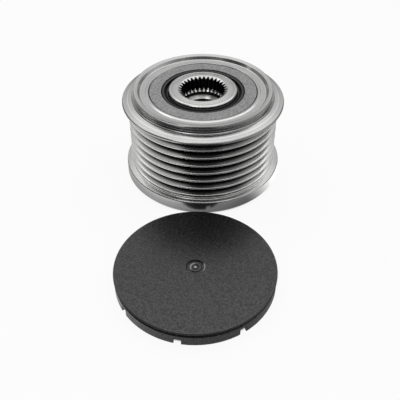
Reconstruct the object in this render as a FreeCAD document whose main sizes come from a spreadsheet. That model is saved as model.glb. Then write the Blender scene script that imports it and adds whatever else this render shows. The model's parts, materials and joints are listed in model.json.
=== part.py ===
"""Overrunning alternator pulley with its end cap taken off.

Millimetres. Z is the shaft axis, the origin is the middle of the hub's rear seat, and +Z points to
the front, where the tool socket and the cover are. The cap lies in front of the pulley, towards -Y.
The radii grow outwards from the shaft's thread, and the heights forwards from the rear seat.
"""
import FreeCAD, Part
import Sketcher
import os
import re
from FreeCAD import Placement, Rotation, Vector

SIZES = (
    ("thread_radius", 7.19, "minor radius of the M16 x 1.5 thread"),
    ("pilot_step", 1.36, "thread to the plain bore at the hub's rear end"),
    ("pilot_depth", 7.0, "depth of the plain bore"),
    ("socket_teeth", 33, "teeth of the tool socket"),
    ("socket_ledge", 1.21, "thread to the tips of the socket's teeth"),
    ("socket_tooth_height", 1.0, "tooth tips to the bottom of the gaps"),
    ("socket_tooth_depth", 5.6, "full tooth gaps, from the front face to their sloping ends"),
    ("socket_runout", 1.4, "foot of those slopes to the cone"),
    ("socket_gap_mouth", 1.35, "width of a tooth gap at the tips"),
    ("socket_gap_floor", 0.31, "width of a tooth gap at its bottom"),
    ("socket_lead_width", 1.3, "lead-in slope at the socket's mouth, across"),
    ("socket_lead_depth", 0.75, "lead-in slope at the socket's mouth, down"),
    ("hub_wall", 3.9, "tooth gaps to the seat of the races and the seal lips"),
    ("hub_break", 0.5, "bevel on the hub's rear edge"),
    ("hub_crown_width", 1.5, "gentle slope around the hub's front face"),
    ("hub_crown_drop", 0.3, "drop of that slope"),
    ("hub_front_break", 0.25, "bevel on the hub's front edge"),
    ("hub_sunk", 0.45, "pulley's lip to the hub's front face"),
    ("land_rise", 0.5, "race seat to the land of the clutch rollers"),
    ("race_floor", 1.25, "race at the bottom of its raceway"),
    ("race_shoulder", 1.25, "pitch circle to a race's shoulder"),
    ("race_break", 0.3, "bevel on the race edges"),
    ("bearing_width", 7.0, "support bearings"),
    ("ball_radius", 2.0, "bearing balls"),
    ("ball_play", 0.1, "ball to raceway"),
    ("ball_count", 14, "balls in a bearing"),
    ("cage_wall", 1.7, "ball cage, inside to outside"),
    ("cage_width", 5.4, "ball cage, along the axis"),
    ("pocket_play", 0.15, "ball to its pocket"),
    ("washer_width", 0.8, "washers beside the clutch"),
    ("washer_gap", 0.2, "washer to the races beside it"),
    ("roller_radius", 1.6, "clutch rollers"),
    ("roller_count", 12, "clutch rollers, ramps and springs"),
    ("roller_play", 0.1, "roller to the hub's land"),
    ("ramp_play", 0.2, "roller to its ramp, where it runs free"),
    ("ramp_depth", 0.5, "ramp behind the free roller, below the sleeve's bore"),
    ("ramp_angle", 7, "slope of a ramp, in degrees"),
    ("ramp_wedge_reach", 2.2, "ramp, from the roller's middle to the tight end"),
    ("ramp_spring_reach", 3.5, "ramp, from the roller's middle to the wide end"),
    ("clutch_cage_play", 0.4, "clutch cage to the hub's land"),
    ("clutch_cage_slack", 0.3, "clutch cage to the sleeve"),
    ("clutch_cage_gap", 0.2, "clutch cage to the washers"),
    ("clutch_cage_rim", 2.1, "clutch cage beside its windows"),
    ("window_play", 0.15, "roller to its window"),
    ("window_spring_reach", 3.4, "window, from the roller's middle to the spring's wall"),
    ("spring_strip", 0.22, "thickness of a leaf spring"),
    ("spring_length", 5.0, "leaf spring along the axis"),
    ("spring_spread", 0.95, "half the width of a leaf spring at its feet"),
    ("spring_play", 0.05, "feet of a leaf spring to the window's wall"),
    ("ring_lift", 1.95, "pulley ring's rear face above the hub's seat"),
    ("ring_wall", 6.45, "bore to the bottom of the belt grooves"),
    ("rear_flange_width", 4.85, "rim of the rear flange"),
    ("rear_shoulder", 1.45, "rear flange to the last crest"),
    ("relief_place", 0.8, "last crest to the middle of a turned relief"),
    ("relief_width", 0.55, "width of that relief"),
    ("relief_depth", 0.5, "depth of that relief"),
    ("rib_pitch", 3.56, "pitch of the belt's ribs"),
    ("groove_count", 7, "V grooves for the belt"),
    ("groove_depth", 3.0, "crest to groove floor"),
    ("groove_angle", 40, "angle between a groove's flanks, in degrees"),
    ("groove_floor", 0.8, "width of a groove's floor"),
    ("crest_break", 0.2, "bevel on each crest's edges"),
    ("flange_rise", 2.2, "crests to the flange rims"),
    ("flange_break", 0.35, "bevel on the flange rims"),
    ("front_flange_reach", 3.35, "middle of the first groove to the front flange's edge"),
    ("front_rim_width", 0.95, "rim of the front flange"),
    ("step_rise", 0.95, "front flange's edge to the edge of the step"),
    ("step_width", 1.45, "neck to the edge of the step"),
    ("step_break", 0.25, "rounding of the step's edge"),
    ("step_foot", 0.15, "slope at the foot of the step"),
    ("neck_width", 1.31, "step's edge to the lip's slope"),
    ("neck_depth", 0.9, "neck under the lip, where the cap's bead snaps in"),
    ("lip_wall", 1.75, "front lip, inside edge to outside"),
    ("lip_width", 1.0, "straight outside wall of the lip"),
    ("lip_slope", 0.75, "height of the slope from the lip to the neck"),
    ("lip_break", 0.2, "bevel on the lip's outer edge"),
    ("recess_depth", 1.45, "lip to the recess floor"),
    ("recess_flare", 0.85, "slope from the recess floor to the lip"),
    ("recess_width", 2.15, "recess floor between the bead and that slope"),
    ("bead_width", 1.45, "cover seat to the foot of the bead around it"),
    ("bead_height", 0.25, "bead above the recess floor"),
    ("bead_slope", 0.25, "slope of the bead's outer side"),
    ("seat_break", 0.3, "bevel at the mouth of the cover seat"),
    ("cover_step", 1.0, "bore to the cover seat"),
    ("cover_play", 0.1, "gap around a cover ring"),
    ("cover_height", 2.75, "cover ring, seat to face"),
    ("cover_wall", 1.0, "wall of a cover ring's skirt"),
    ("cover_plate", 0.9, "thickness of a cover ring's face"),
    ("cover_break", 0.2, "bevel on a cover ring's outer edge"),
    ("front_cover_sunk", 1.25, "pulley's lip to the front cover's face"),
    ("rear_cover_sunk", 0.15, "pulley's rear face to the rear cover's face"),
    ("seal_gap", 3.0, "hub to the hole in a cover ring, filled by the seal"),
    ("seal_bond", 2.3, "how far the rubber reaches under the cover"),
    ("seal_web", 0.7, "rubber under the cover"),
    ("seal_skin", 0.6, "rubber in the hole, above the underside of the cover's face"),
    ("seal_ridge", 0.12, "height of the ridge around the seal"),
    ("seal_ridge_half", 0.2, "half the width of that ridge"),
    ("seal_groove", 0.35, "groove in the rubber beside the cover, width and depth"),
    ("seal_trough", 0.5, "trough in the rubber beside the hub, width and depth"),
    ("seal_play", 0.06, "seal lips to the hub"),
    ("seal_lip_root", 1.0, "hub to the root of a lip"),
    ("seal_lip_reach", 0.9, "inner lip below the web"),
    ("seal_lip_edge", 0.4, "edge of a lip along the hub"),
    ("dust_lip_edge", 0.3, "edge of the outer lip along the hub"),
    ("cap_offset", -2.75, "cap's middle, across from the pulley's"),
    ("cap_gap", 3.3, "pulley's flange to the cap"),
    ("cap_turn", -11.5, "turn of the cap, to its first notch, in degrees"),
    ("cap_height", 5.7, "end cap"),
    ("cap_play", 0.1, "skirt to the pulley's lip"),
    ("cap_wall", 0.8, "wall of the skirt"),
    ("cap_overhang", 0.15, "rim beyond the skirt"),
    ("cap_break", 0.35, "bevel on the rim's upper edge"),
    ("cap_rim", 0.65, "rim under its bevel"),
    ("cap_groove_width", 0.4, "groove between rim and skirt"),
    ("cap_groove_depth", 0.45, "depth of that groove"),
    ("cap_plate", 1.6, "thickness of the cap's top"),
    ("cap_bead", 0.35, "snap bead, how far it stands in"),
    ("cap_bead_lift", 0.3, "foot to the bead"),
    ("notch_count", 8, "notches in the skirt"),
    ("notch_width", 2.5, "notches in the skirt"),
    ("notch_height", 2.7, "notches in the skirt"),
    ("gate_radius", 3.2, "dished hollow in the middle of the cap, where it was filled"),
    ("gate_depth", 0.75, "depth of that hollow"),
    ("gate_pip_radius", 0.8, "pip in the middle of the hollow"),
    ("gate_pip_foot", 0.15, "slope around the pip"),
    ("gate_pip_sunk", 0.2, "cap's top to the top of the pip"),
)
NAMES = {name for name, value, meaning in SIZES}

# Radii, from the thread outwards.
SOCKET_TIP = "(thread_radius + socket_ledge)"
SOCKET_ROOT = f"({SOCKET_TIP} + socket_tooth_height)"
PILOT = "(thread_radius + pilot_step)"
HUB_SEAT = f"({SOCKET_ROOT} + hub_wall)"
HUB_LAND = f"({HUB_SEAT} + land_rise)"
BALL_PITCH = f"({HUB_SEAT} + race_floor + ball_play + ball_radius)"
PULLEY_BORE = f"({BALL_PITCH} + ball_radius + ball_play + race_floor)"
ROLLER_PITCH = f"({HUB_LAND} + roller_play + roller_radius)"
RAMP_FLOOR = f"({ROLLER_PITCH} + roller_radius + ramp_play)"
SLEEVE_BORE = f"({RAMP_FLOOR} - ramp_depth)"
CLUTCH_CAGE_INSIDE = f"({HUB_LAND} + clutch_cage_play)"
CLUTCH_CAGE_OUTSIDE = f"({SLEEVE_BORE} - clutch_cage_slack)"
COVER_SEAT = f"({PULLEY_BORE} + cover_step)"
COVER_EYE = f"({HUB_SEAT} + seal_gap)"
BEAD = f"({COVER_SEAT} + bead_width)"
RECESS = f"({BEAD} + recess_width)"
LIP_MOUTH = f"({RECESS} + recess_flare)"
LIP = f"({LIP_MOUTH} + lip_wall)"
NECK = f"({LIP} - neck_depth)"
STEP = f"({NECK} + step_width)"
GROOVE_BOTTOM = f"({PULLEY_BORE} + ring_wall)"
CREST = f"({GROOVE_BOTTOM} + groove_depth)"
FLANGE = f"({CREST} + flange_rise)"
CAP_BORE = f"({LIP} + cap_play)"
CAP_SKIRT = f"({CAP_BORE} + cap_wall)"
CAP_EDGE = f"({CAP_SKIRT} + cap_overhang)"

# Heights in the pulley ring, from its rear face.
LAST_CREST = "(rear_flange_width + rear_shoulder)"
LAST_GROOVE = f"({LAST_CREST} + rib_pitch / 2)"
FIRST_GROOVE = f"({LAST_GROOVE} + rib_pitch * (groove_count - 1))"
GROOVE_HALF = "(groove_floor / 2 + groove_depth * tan(groove_angle / 2))"
FLANGE_EDGE = f"({FIRST_GROOVE} + front_flange_reach)"
STEP_EDGE = f"({FLANGE_EDGE} + step_rise)"
NECK_TOP = f"({STEP_EDGE} + neck_width)"
RING_WIDTH = f"({NECK_TOP} + lip_slope + lip_width)"
FRONT_SEAT_IN_RING = f"({RING_WIDTH} - front_cover_sunk - cover_height)"
REAR_SEAT_IN_RING = "(rear_cover_sunk + cover_height)"

# Heights on the shaft axis, from the hub's rear seat.
HUB_HEIGHT = f"(ring_lift + {RING_WIDTH} - hub_sunk)"
FRONT_SEAT = f"(ring_lift + {FRONT_SEAT_IN_RING})"
REAR_SEAT = f"(ring_lift + {REAR_SEAT_IN_RING})"
FRONT_BEARING = f"({FRONT_SEAT} - bearing_width)"
CLUTCH_REAR = f"({REAR_SEAT} + bearing_width)"
REAR_WASHER = f"({CLUTCH_REAR} + washer_gap)"
SLEEVE_REAR = f"({REAR_WASHER} + washer_width)"
SLEEVE_FRONT = f"({FRONT_BEARING} - washer_gap - washer_width)"
SLEEVE_LENGTH = f"({SLEEVE_FRONT} - {SLEEVE_REAR})"
CLUTCH_CAGE_LENGTH = f"({SLEEVE_LENGTH} - 2 * clutch_cage_gap)"
WINDOW_LENGTH = f"({CLUTCH_CAGE_LENGTH} - 2 * clutch_cage_rim)"
ROLLER_LENGTH = f"({WINDOW_LENGTH} - 2 * window_play)"
CLUTCH_MIDDLE = f"({SLEEVE_REAR} + {SLEEVE_LENGTH} / 2)"

# A new sketch edge starts on this circle, and its sizes then pull it into place.
ROUGH_CIRCLE = Part.Circle(Vector(20, 20, 0), Vector(0, 0, 1), 10)
FULL_TURN = ROUGH_CIRCLE.LastParameter

doc = FreeCAD.newDocument("alternator_pulley")
sheet = doc.addObject("Spreadsheet::Sheet", "sizes")


def fill_sheet():
    """Write every driving size into the sheet, with its name as alias."""
    for row, (name, value, meaning) in enumerate(SIZES, start=1):
        sheet.set(f"A{row}", name)
        sheet.set(f"B{row}", str(value))
        sheet.set(f"C{row}", meaning)
        sheet.setAlias(f"B{row}", name)
    doc.recompute()


def from_sheet(formula):
    """Point each size's name in a formula at its cell."""
    return re.sub(r"[a-z_]+", lambda word: f"sizes.{word[0]}" if word[0] in NAMES else word[0], formula)


def bind(item, prop, formula):
    item.setExpression(prop, from_sheet(formula))


def new_body(name, lift="0", flipped=False):
    """Start a sub-part whose own zero height sits at the given height on the shaft axis."""
    body = doc.addObject("PartDesign::Body", name)
    body.Label = name
    body.AllowCompound = True
    if flipped:
        body.Placement = Placement(Vector(0, 0, 0), Rotation(Vector(1, 0, 0), 180))
    bind(body, "Placement.Base.z", lift)
    return body


def new_sketch(body, name, plane, lift="0"):
    """Open a sketch on one of the body's own planes, raised along that plane's normal."""
    sketch = body.newObject("Sketcher::SketchObject", f"{body.Name}_{name}")
    origin = [item for item in body.Origin.OriginFeatures if item.Role == plane][0]
    sketch.AttachmentSupport = (origin, [""])
    sketch.MapMode = "FlatFace"
    bind(sketch, "AttachmentOffset.Base.z", lift)
    return sketch


def pin_point(sketch, edge, end, across, up):
    """Hold one end of an edge at a place given by two formulas."""
    for kind, formula in (("DistanceX", across), ("DistanceY", up)):
        index = sketch.addConstraint(Sketcher.Constraint(kind, -1, 1, edge, end, 1.0))
        bind(sketch, f"Constraints[{index}]", formula)


def set_radius(sketch, edge, formula):
    index = sketch.addConstraint(Sketcher.Constraint("Radius", edge, 1.0))
    bind(sketch, f"Constraints[{index}]", formula)


def closed_outline(sketch, corners):
    """Draw a closed run of straight edges through corners, each given by two formulas."""
    count = len(corners)
    spots = [ROUGH_CIRCLE.value(FULL_TURN * step / count) for step in range(count)]
    first = sketch.GeometryCount
    for step in range(count):
        sketch.addGeometry(Part.LineSegment(spots[step], spots[(step + 1) % count]), False)
    for step in range(count):
        sketch.addConstraint(
            Sketcher.Constraint("Coincident", first + step, 2, first + (step + 1) % count, 1))
        pin_point(sketch, first + step, 1, *corners[step])


def drawn_circle(sketch, across, up, radius):
    """Draw a circle whose middle and radius are formulas."""
    edge = sketch.addGeometry(ROUGH_CIRCLE, False)
    pin_point(sketch, edge, 3, across, up)
    set_radius(sketch, edge, radius)


def revolved(body, name, kind, draw):
    """Turn a section about the shaft axis; draw puts it into the sketch."""
    sketch = new_sketch(body, f"{name}_section", "XZ_Plane")
    draw(sketch)
    feature = body.newObject(f"PartDesign::{kind}", f"{body.Name}_{name}")
    feature.Profile = sketch
    feature.ReferenceAxis = (sketch, ["V_Axis"])
    feature.Angle = 360
    return feature


def turn(body, corners):
    """Turn a blank from an outline of (radius, height) corners."""
    return revolved(body, "blank", "Revolution", lambda sketch: closed_outline(sketch, corners))


def around(body, feature, count, axis="N_Axis"):
    """Repeat a feature evenly around the shaft axis, named as its sketch's own axis."""
    pattern = body.newObject("PartDesign::PolarPattern", f"{feature.Name}_around")
    pattern.Originals = [feature]
    pattern.Axis = (feature.Profile[0], [axis])
    pattern.Angle = 360
    bind(pattern, "Occurrences", count)
    body.Tip = pattern


def pad_both_ways(body, name, draw, length):
    """Raise a section drawn square to the shaft axis, half its length to each side."""
    sketch = new_sketch(body, f"{name}_section", "XY_Plane")
    draw(sketch)
    feature = body.newObject("PartDesign::Pad", f"{body.Name}_{name}")
    feature.Profile = sketch
    feature.Midplane = True
    bind(feature, "Length", length)
    return feature


def pocket(body, name, draw, plane, length=None, lift="0", ahead=False):
    """Cut a section back from its plane, or ahead of it, to a length or right through."""
    sketch = new_sketch(body, f"{name}_section", plane, lift)
    draw(sketch)
    feature = body.newObject("PartDesign::Pocket", f"{body.Name}_{name}")
    feature.Profile = sketch
    feature.Reversed = ahead
    if length is None:
        feature.Type = "ThroughAll"
    else:
        bind(feature, "Length", length)
    return feature


def make_hub():
    """Inner ring: race seats, clutch land, toothed tool socket, thread and plain bore."""
    body = new_body("hub")
    crown = f"({HUB_HEIGHT} - hub_crown_drop)"
    gap_end = f"({HUB_HEIGHT} - socket_tooth_depth)"
    gap_foot = f"({gap_end} - socket_tooth_height)"
    cone = f"({gap_foot} - socket_runout)"
    turn(body, (
        (PILOT, "0"),
        (f"{HUB_SEAT} - hub_break", "0"),
        (HUB_SEAT, "hub_break"),
        (HUB_SEAT, CLUTCH_REAR),
        (HUB_LAND, CLUTCH_REAR),
        (HUB_LAND, FRONT_BEARING),
        (HUB_SEAT, FRONT_BEARING),
        (HUB_SEAT, f"{crown} - hub_front_break"),
        (f"{HUB_SEAT} - hub_front_break", crown),
        (f"{HUB_SEAT} - hub_crown_width", HUB_HEIGHT),
        (f"{SOCKET_TIP} + socket_lead_width", HUB_HEIGHT),
        (SOCKET_TIP, f"{HUB_HEIGHT} - socket_lead_depth"),
        (SOCKET_TIP, cone),
        ("thread_radius", f"{cone} - socket_ledge"),
        ("thread_radius", "pilot_depth + pilot_step"),
        (PILOT, "pilot_depth"),
    ))

    def gap(sketch):
        closed_outline(sketch, (
            ("thread_radius", "-socket_gap_mouth / 2"),
            (SOCKET_TIP, "-socket_gap_mouth / 2"),
            (SOCKET_ROOT, "-socket_gap_floor / 2"),
            (SOCKET_ROOT, "socket_gap_floor / 2"),
            (SOCKET_TIP, "socket_gap_mouth / 2"),
            ("thread_radius", "socket_gap_mouth / 2"),
        ))

    def slope(sketch):
        closed_outline(sketch, (
            (SOCKET_TIP, gap_foot),
            (SOCKET_ROOT, gap_end),
            (f"{SOCKET_ROOT} + socket_tooth_height", gap_end),
            (f"{SOCKET_ROOT} + socket_tooth_height", gap_foot),
        ))

    cut = pocket(body, "tooth_gap", gap, "XY_Plane", "socket_tooth_depth + socket_tooth_height", HUB_HEIGHT)
    around(body, cut, "socket_teeth")
    body.Tip = revolved(body, "gap_ends", "Revolution", slope)


def make_pulley_ring():
    """Pulley: belt grooves between two flanges, front lip and neck, stepped bore."""
    body = new_body("pulley_ring", "ring_lift")
    relief = f"({LAST_CREST} - relief_place)"
    groove_top = f"({GROOVE_HALF} + crest_break)"
    recess = f"({RING_WIDTH} - recess_depth)"
    turn(body, (
        (COVER_SEAT, "0"),
        (f"{FLANGE} - flange_break", "0"),
        (FLANGE, "flange_break"),
        (FLANGE, "rear_flange_width - flange_break"),
        (f"{FLANGE} - flange_break", "rear_flange_width"),
        (f"{CREST} - relief_depth / 4", f"{relief} - relief_width / 2"),
        (f"{CREST} - relief_depth", relief),
        (CREST, f"{relief} + relief_width / 2"),
        (CREST, f"{FIRST_GROOVE} + {groove_top}"),
        (FLANGE, f"{FLANGE_EDGE} - front_rim_width"),
        (FLANGE, f"{FLANGE_EDGE} - flange_break"),
        (f"{FLANGE} - flange_break", FLANGE_EDGE),
        (f"{STEP} + step_foot", f"{STEP_EDGE} - step_break"),
        (STEP, STEP_EDGE),
        (f"{STEP} - step_break", f"{STEP_EDGE} + step_break"),
        (NECK, f"{STEP_EDGE} + step_break"),
        (NECK, NECK_TOP),
        (LIP, f"{RING_WIDTH} - lip_width"),
        (LIP, f"{RING_WIDTH} - lip_break"),
        (f"{LIP} - lip_break", RING_WIDTH),
        (LIP_MOUTH, RING_WIDTH),
        (RECESS, recess),
        (BEAD, recess),
        (f"{BEAD} - bead_slope", f"{recess} + bead_height"),
        (f"{COVER_SEAT} + seat_break", f"{recess} + bead_height"),
        (COVER_SEAT, f"{recess} + bead_height - seat_break"),
        (COVER_SEAT, FRONT_SEAT_IN_RING),
        (PULLEY_BORE, FRONT_SEAT_IN_RING),
        (PULLEY_BORE, REAR_SEAT_IN_RING),
        (COVER_SEAT, REAR_SEAT_IN_RING),
    ))
    flank_end = f"({GROOVE_HALF} - crest_break * tan(groove_angle / 2))"

    def vee(sketch):
        closed_outline(sketch, (
            (FLANGE, f"{LAST_GROOVE} - {groove_top}"),
            (CREST, f"{LAST_GROOVE} - {groove_top}"),
            (f"{CREST} - crest_break", f"{LAST_GROOVE} - {flank_end}"),
            (GROOVE_BOTTOM, f"{LAST_GROOVE} - groove_floor / 2"),
            (GROOVE_BOTTOM, f"{LAST_GROOVE} + groove_floor / 2"),
            (f"{CREST} - crest_break", f"{LAST_GROOVE} + {flank_end}"),
            (CREST, f"{LAST_GROOVE} + {groove_top}"),
            (FLANGE, f"{LAST_GROOVE} + {groove_top}"),
        ))

    groove = revolved(body, "belt_groove", "Groove", vee)
    rows = body.newObject("PartDesign::LinearPattern", "pulley_ring_belt_grooves")
    rows.Originals = [groove]
    rows.Direction = (groove.Profile[0], ["V_Axis"])
    bind(rows, "Length", "rib_pitch * (groove_count - 1)")
    bind(rows, "Occurrences", "groove_count")
    body.Tip = rows


def make_cover(end, seat, flipped):
    """Pressed cover ring of one end, and the rubber lip seal bonded to it."""
    under = "(cover_height - cover_plate)"
    outside = f"({COVER_SEAT} - cover_play)"
    ring = new_body(f"{end}_cover_ring", seat, flipped)
    turn(ring, (
        (f"{outside} - cover_wall", "0"),
        (outside, "0"),
        (outside, "cover_height - cover_break"),
        (f"{outside} - cover_break", "cover_height"),
        (COVER_EYE, "cover_height"),
        (COVER_EYE, under),
        (f"{outside} - cover_wall", under),
    ))
    seal = new_body(f"{end}_lip_seal", seat, flipped)
    web = f"({under} - seal_web)"
    skin = f"({under} + seal_skin)"
    edge = f"({HUB_SEAT} + seal_play)"
    ridge = f"({COVER_EYE} - seal_lip_root)"
    turn(seal, (
        (f"{COVER_EYE} + seal_bond", under),
        (f"{COVER_EYE} + seal_bond", web),
        (f"{edge} + 2 * seal_lip_root", web),
        (f"{edge} + seal_lip_root", f"{web} - seal_lip_reach"),
        (edge, f"{web} - seal_lip_reach"),
        (edge, f"{web} - seal_lip_reach + seal_lip_edge"),
        (f"{edge} + seal_lip_root", f"{under} - seal_lip_edge"),
        (edge, f"{skin} - seal_trough - dust_lip_edge"),
        (edge, f"{skin} - seal_trough"),
        (f"{edge} + seal_trough", skin),
        (f"{ridge} - seal_ridge_half", skin),
        (ridge, f"{skin} + seal_ridge"),
        (f"{ridge} + seal_ridge_half", skin),
        (f"{COVER_EYE} - seal_groove", skin),
        (f"{COVER_EYE} - seal_groove / 2", f"{skin} - seal_groove"),
        (COVER_EYE, f"{skin} - seal_groove"),
        (COVER_EYE, under),
    ))


def make_race(name, lift, seat, bevelled, shoulder):
    """One race: the radius that is fitted, the same less its bevel, and the radius of its shoulders."""
    body = new_body(name, lift)
    turn(body, (
        (bevelled, "0"),
        (seat, "race_break"),
        (seat, "bearing_width - race_break"),
        (bevelled, "bearing_width"),
        (shoulder, "bearing_width"),
        (shoulder, "0"),
    ))

    def raceway(sketch):
        drawn_circle(sketch, BALL_PITCH, "bearing_width / 2", "ball_radius + ball_play")

    revolved(body, "raceway", "Groove", raceway)


def make_balls(end, lift):
    """Balls of one bearing, from half a circle turned about its own straight side."""
    body = new_body(f"{end}_balls", f"{lift} + bearing_width / 2")
    sketch = new_sketch(body, "ball_section", "XZ_Plane")
    above, below = FULL_TURN / 4, FULL_TURN * 3 / 4
    arc = sketch.addGeometry(Part.ArcOfCircle(ROUGH_CIRCLE, above, below), False)
    side = sketch.addGeometry(
        Part.LineSegment(ROUGH_CIRCLE.value(below), ROUGH_CIRCLE.value(above)), False)
    sketch.addConstraint(Sketcher.Constraint("Coincident", arc, 2, side, 1))
    sketch.addConstraint(Sketcher.Constraint("Coincident", arc, 1, side, 2))
    sketch.addConstraint(Sketcher.Constraint("PointOnObject", arc, 3, side))
    sketch.addConstraint(Sketcher.Constraint("Vertical", side))
    pin_point(sketch, arc, 3, BALL_PITCH, "0")
    set_radius(sketch, arc, "ball_radius")
    ball = body.newObject("PartDesign::Revolution", f"{body.Name}_ball")
    ball.Profile = sketch
    ball.ReferenceAxis = (sketch, [f"Edge{side + 1}"])
    ball.Angle = 360
    around(body, ball, "ball_count", "V_Axis")


def make_ball_cage(end, lift):
    """Ring with a round pocket for each ball."""
    body = new_body(f"{end}_cage", f"{lift} + bearing_width / 2")
    turn(body, (
        (f"{BALL_PITCH} - cage_wall / 2", "-cage_width / 2"),
        (f"{BALL_PITCH} + cage_wall / 2", "-cage_width / 2"),
        (f"{BALL_PITCH} + cage_wall / 2", "cage_width / 2"),
        (f"{BALL_PITCH} - cage_wall / 2", "cage_width / 2"),
    ))

    def hole(sketch):
        drawn_circle(sketch, "0", "0", "ball_radius + pocket_play")

    cut = pocket(body, "ball_pocket", hole, "YZ_Plane", ahead=True)
    around(body, cut, "ball_count", "V_Axis")


def make_bearing(end, lift):
    """Support bearing of one end: two races, the balls and their cage."""
    make_race(f"{end}_inner_race", lift,
              HUB_SEAT, f"{HUB_SEAT} + race_break", f"{BALL_PITCH} - race_shoulder")
    make_race(f"{end}_outer_race", lift,
              PULLEY_BORE, f"{PULLEY_BORE} - race_break", f"{BALL_PITCH} + race_shoulder")
    make_balls(end, lift)
    make_ball_cage(end, lift)


def make_clutch_washer(end, lift):
    """Washer that keeps the clutch cage and its grease off the bearing beside it."""
    body = new_body(f"{end}_clutch_washer", lift)
    turn(body, (
        (CLUTCH_CAGE_INSIDE, "0"),
        (PULLEY_BORE, "0"),
        (PULLEY_BORE, "washer_width"),
        (CLUTCH_CAGE_INSIDE, "washer_width"),
    ))


def make_clutch_sleeve():
    """Sleeve pressed into the pulley; each roller has a ramp that narrows one way."""
    body = new_body("clutch_sleeve", SLEEVE_REAR)
    turn(body, (
        (SLEEVE_BORE, "0"),
        (PULLEY_BORE, "0"),
        (PULLEY_BORE, SLEEVE_LENGTH),
        (SLEEVE_BORE, SLEEVE_LENGTH),
    ))

    def ramp(sketch):
        closed_outline(sketch, (
            (HUB_LAND, "-ramp_wedge_reach"),
            (f"{RAMP_FLOOR} - ramp_wedge_reach * tan(ramp_angle)", "-ramp_wedge_reach"),
            (f"{RAMP_FLOOR} + ramp_spring_reach * tan(ramp_angle)", "ramp_spring_reach"),
            (HUB_LAND, "ramp_spring_reach"),
        ))

    cut = pocket(body, "ramp", ramp, "XY_Plane", ahead=True)
    around(body, cut, "roller_count")


def make_clutch_cage():
    """Moulded cage with a window for each roller and its spring."""
    body = new_body("clutch_cage", f"{SLEEVE_REAR} + clutch_cage_gap")
    turn(body, (
        (CLUTCH_CAGE_INSIDE, "0"),
        (CLUTCH_CAGE_OUTSIDE, "0"),
        (CLUTCH_CAGE_OUTSIDE, CLUTCH_CAGE_LENGTH),
        (CLUTCH_CAGE_INSIDE, CLUTCH_CAGE_LENGTH),
    ))
    roller_side = "-(roller_radius + window_play)"

    def window(sketch):
        closed_outline(sketch, (
            (roller_side, "clutch_cage_rim"),
            ("window_spring_reach", "clutch_cage_rim"),
            ("window_spring_reach", f"clutch_cage_rim + {WINDOW_LENGTH}"),
            (roller_side, f"clutch_cage_rim + {WINDOW_LENGTH}"),
        ))

    cut = pocket(body, "window", window, "YZ_Plane", ahead=True)
    around(body, cut, "roller_count", "V_Axis")


def make_clutch_rollers():
    body = new_body("clutch_rollers", CLUTCH_MIDDLE)

    def end_face(sketch):
        drawn_circle(sketch, ROLLER_PITCH, "0", "roller_radius")

    roller = pad_both_ways(body, "roller", end_face, ROLLER_LENGTH)
    around(body, roller, "roller_count")


def make_clutch_springs():
    """Leaf springs, bent to a V, that push each roller up its ramp."""
    body = new_body("clutch_springs", CLUTCH_MIDDLE)
    nose = "(roller_radius + window_play)"
    foot = "(window_spring_reach - spring_play)"

    def leaf(sketch):
        closed_outline(sketch, (
            (f"{ROLLER_PITCH} - spring_strip / 2", nose),
            (f"{ROLLER_PITCH} + spring_strip / 2", nose),
            (f"{ROLLER_PITCH} + spring_spread", foot),
            (f"{ROLLER_PITCH} + spring_spread - spring_strip", foot),
            (ROLLER_PITCH, f"{nose} + spring_strip * 3 / 2"),
            (f"{ROLLER_PITCH} - spring_spread + spring_strip", foot),
            (f"{ROLLER_PITCH} - spring_spread", foot),
        ))

    spring = pad_both_ways(body, "leaf", leaf, "spring_length")
    around(body, spring, "roller_count")


def make_end_cap():
    """Cap taken off and laid down: disc, groove, notched skirt with a snap bead."""
    body = new_body("end_cap")
    body.Placement = Placement(Vector(0, 0, 0), Rotation(Vector(0, 0, 1), sheet.get("cap_turn")))
    bind(body, "Placement.Base.x", "cap_offset")
    bind(body, "Placement.Base.y", f"-({FLANGE} + {CAP_EDGE} + cap_gap)")
    rim_foot = "(cap_height - cap_break - cap_rim)"
    ceiling = "(cap_height - cap_plate)"
    gate_floor = "(cap_height - gate_depth)"
    turn(body, (
        (CAP_BORE, "0"),
        (CAP_SKIRT, "0"),
        (CAP_SKIRT, f"{rim_foot} - cap_groove_width"),
        (f"{CAP_SKIRT} - cap_groove_depth", f"{rim_foot} - cap_groove_width / 2"),
        (CAP_EDGE, rim_foot),
        (CAP_EDGE, "cap_height - cap_break"),
        (f"{CAP_EDGE} - cap_break", "cap_height"),
        ("gate_radius", "cap_height"),
        ("gate_pip_radius + gate_pip_foot", gate_floor),
        ("gate_pip_radius", "cap_height - gate_pip_sunk"),
        ("0", "cap_height - gate_pip_sunk"),
        ("0", ceiling),
        (CAP_BORE, ceiling),
        (CAP_BORE, "cap_bead_lift + cap_bead * 2"),
        (f"{CAP_BORE} - cap_bead", "cap_bead_lift + cap_bead"),
        (CAP_BORE, "cap_bead_lift"),
    ))

    def notch(sketch):
        closed_outline(sketch, (
            ("-notch_width / 2", "0"),
            ("notch_width / 2", "0"),
            ("notch_width / 2", "notch_height"),
            ("-notch_width / 2", "notch_height"),
        ))

    cut = pocket(body, "notch", notch, "YZ_Plane", ahead=True)
    around(body, cut, "notch_count", "V_Axis")


def check_model(bodies):
    """Stop on a failed feature, a bad shape or a cut that removed nothing."""
    for item in doc.Objects:
        if "Invalid" in item.State or "Error" in item.State:
            raise RuntimeError(f"{item.Name} failed: {item.State}")
        if item.TypeId in ("PartDesign::Pocket", "PartDesign::Groove"):
            if item.Shape.Volume >= item.BaseFeature.Shape.Volume - 0.001:
                raise RuntimeError(f"{item.Name} cuts nothing")
    for body in bodies:
        if body.Shape.isNull() or not body.Shape.isValid():
            raise RuntimeError(f"{body.Name} has no good shape")


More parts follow.
